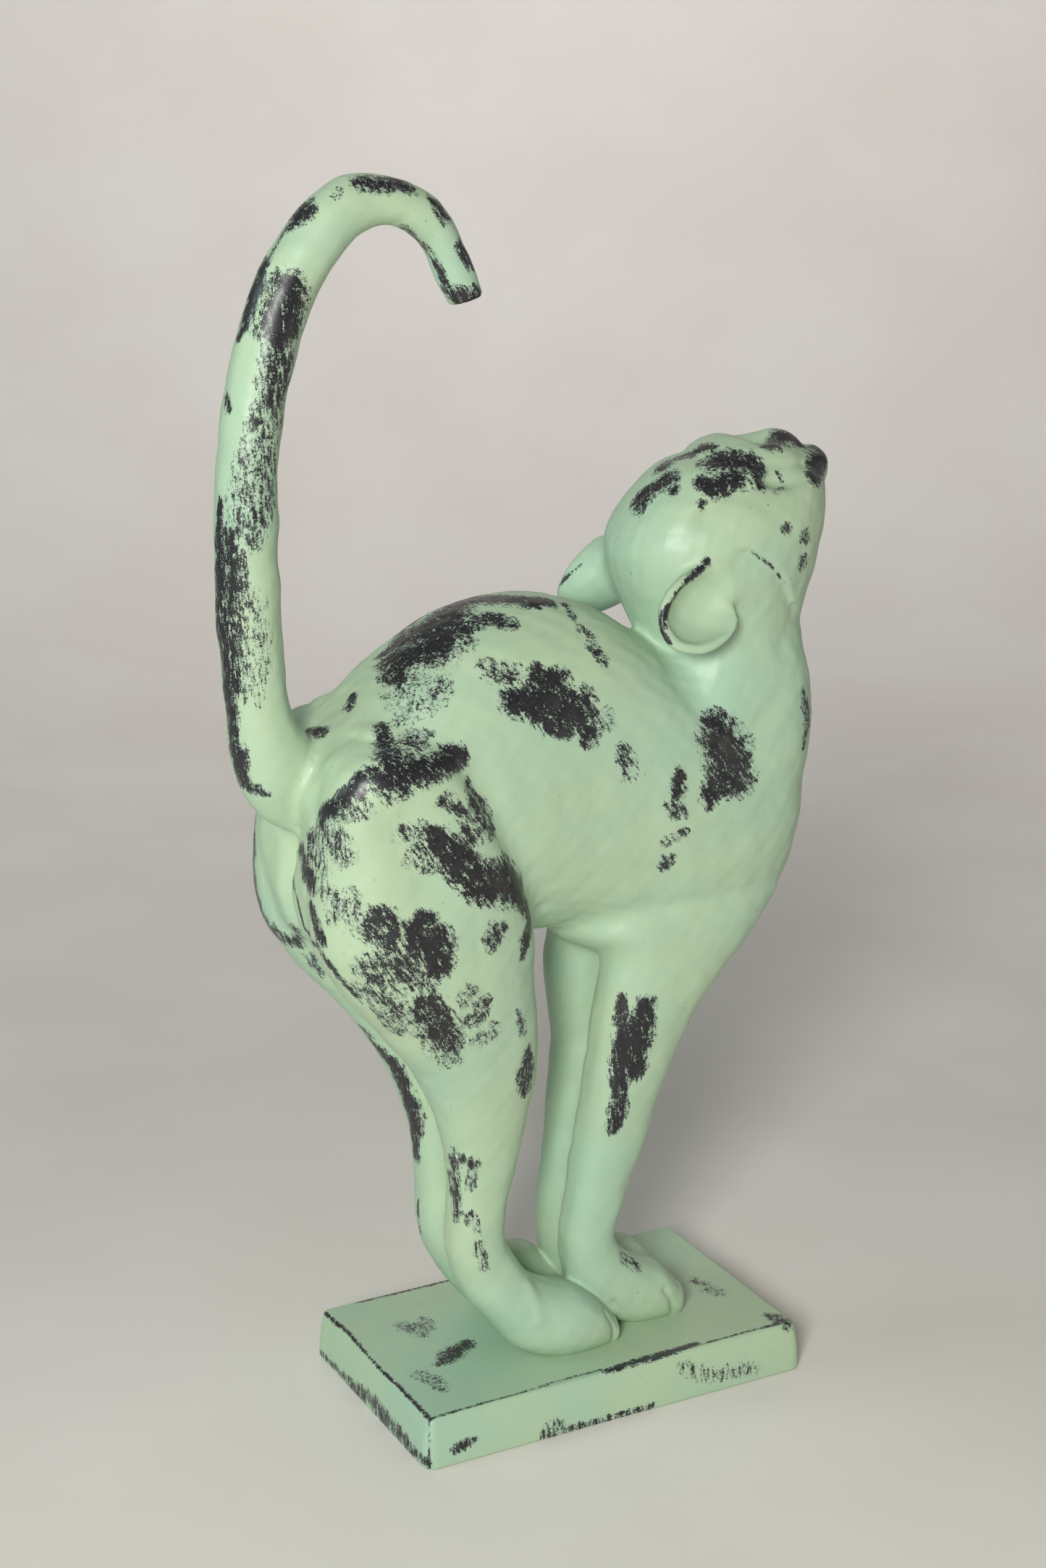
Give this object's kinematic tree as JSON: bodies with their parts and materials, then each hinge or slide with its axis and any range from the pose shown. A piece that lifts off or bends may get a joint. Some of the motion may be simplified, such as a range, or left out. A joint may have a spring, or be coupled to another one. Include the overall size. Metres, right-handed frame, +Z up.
{
  "type": "carved wooden cat figure",
  "caption": "Free-standing carved cat figure on a rectangular plinth, arched in a stretch with its head thrown back and its tail hooked upright over its back.",
  "frame": {"origin": "centre of the plinth's flat underside, on the surface it stands on", "axes": "+X the way the cat faces, along the plinth's long side; +Y to the cat's left; +Z up"},
  "size_m": [0.2585, 0.108, 0.4906],
  "materials": {
    "mint_paint": "mint green paint over black, rubbed back in patches, satin",
    "beech_dowel": "bare turned beech",
    "zinc_steel": "zinc plated"
  },
  "bodies": {
    "root": {"plinth": "mint_paint", "trunk": "mint_paint", "head": "mint_paint", "tail": "mint_paint", "ear_right": "mint_paint", "ear_left": "mint_paint", "hind_leg_right": "mint_paint", "hind_leg_left": "mint_paint", "foreleg_right": "mint_paint", "foreleg_left": "mint_paint", "tail_dowel": "beech_dowel", "neck_dowel": "beech_dowel", "hip_dowel_right": "beech_dowel", "hip_dowel_left": "beech_dowel", "shoulder_dowel_right": "beech_dowel", "shoulder_dowel_left": "beech_dowel", "ear_peg_right": "beech_dowel", "ear_peg_left": "beech_dowel", "base_screw_hind_right": "zinc_steel", "base_screw_hind_left": "zinc_steel", "base_screw_fore_right": "zinc_steel", "base_screw_fore_left": "zinc_steel"}
  },
  "joints": []
}
